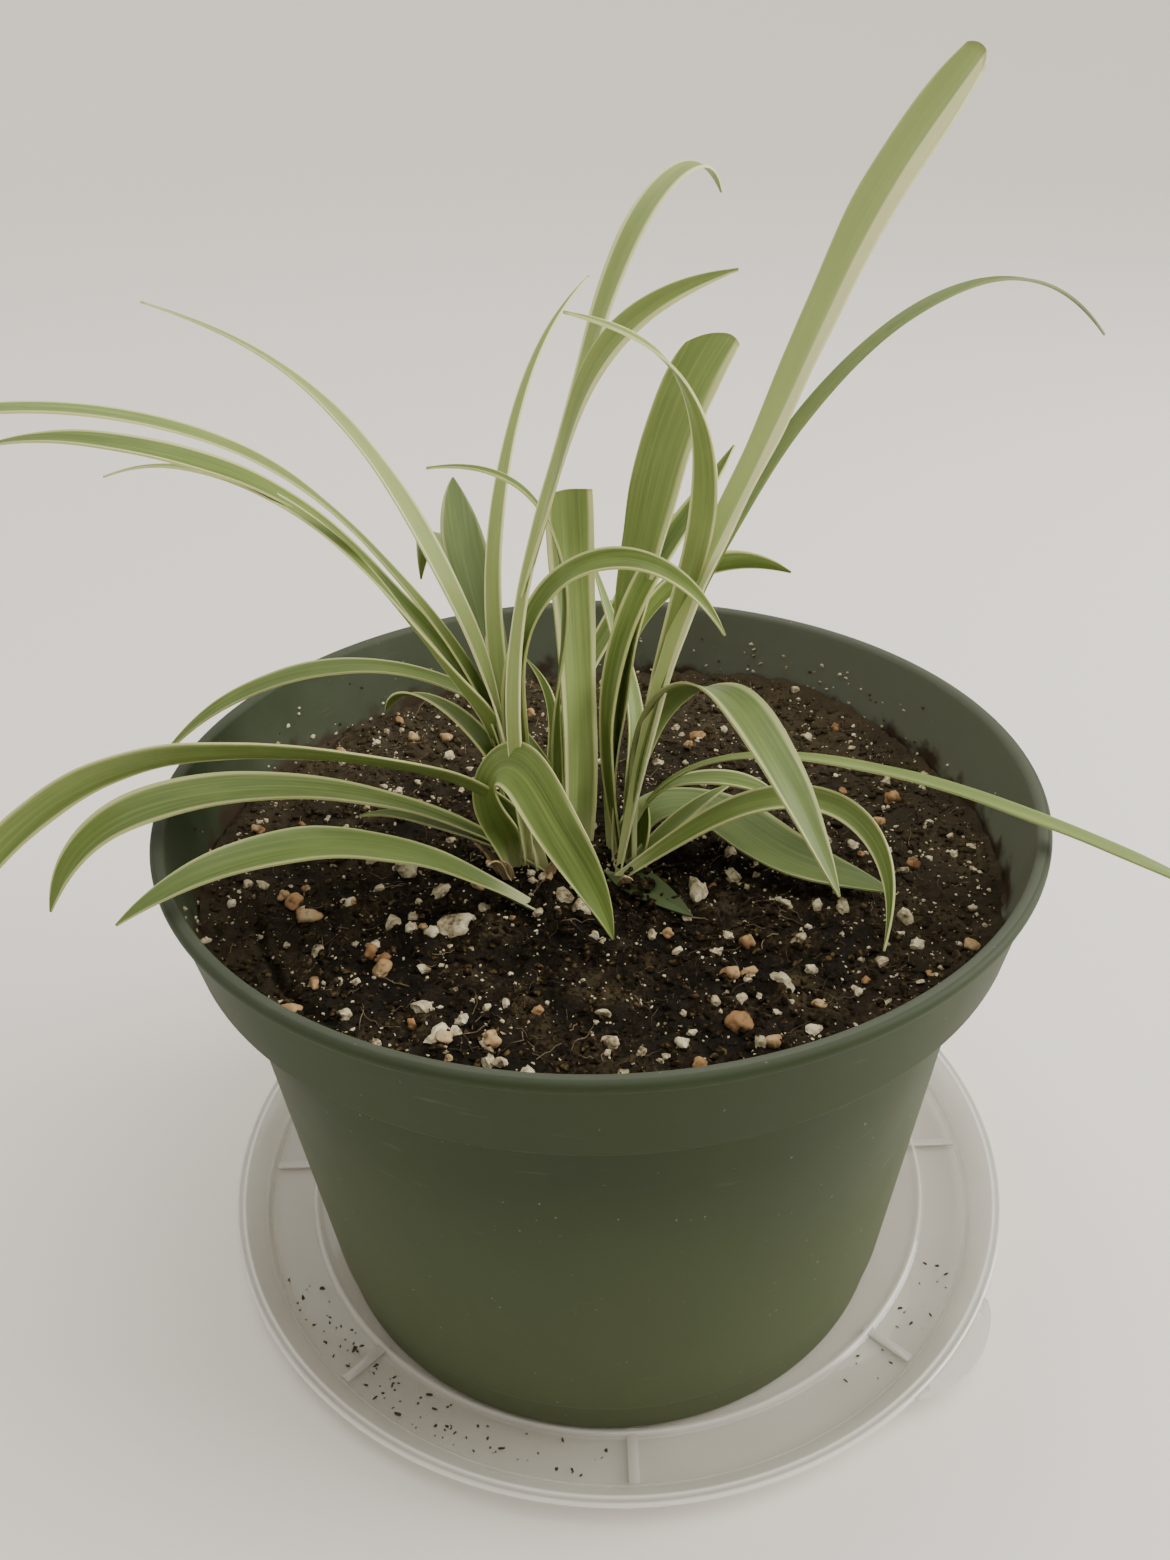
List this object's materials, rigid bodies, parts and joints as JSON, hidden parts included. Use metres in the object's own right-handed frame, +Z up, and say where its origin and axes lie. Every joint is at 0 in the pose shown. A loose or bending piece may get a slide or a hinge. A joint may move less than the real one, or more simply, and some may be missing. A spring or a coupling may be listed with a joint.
{
  "type": "potted spider plant",
  "caption": "A spider plant with long arching variegated leaves in a dark green plastic nursery pot on a clear saucer.",
  "frame": {"origin": "on the pot's axis, on the flat underside of the saucer", "axes": "+Z up, +X to the right and -Y towards the viewer of the picture"},
  "size_m": [0.2932, 0.223, 0.2896],
  "materials": {
    "pot_plastic": "matt moulded plastic, dark olive green, with light scuffs",
    "clear_plastic": "thin clear formed plastic, glossy",
    "potting_soil": "loose dark peat with white perlite and tan bark crumbs",
    "leaf_blade": "waxy leaf, green with cream margins and fine lengthwise veins"
  },
  "bodies": {
    "root": {"pot": "pot_plastic", "saucer": "clear_plastic", "soil": "potting_soil", "left_crown": "leaf_blade", "centre_crown": "leaf_blade", "right_crown": "leaf_blade", "lone_leaf": "leaf_blade"}
  },
  "joints": []
}
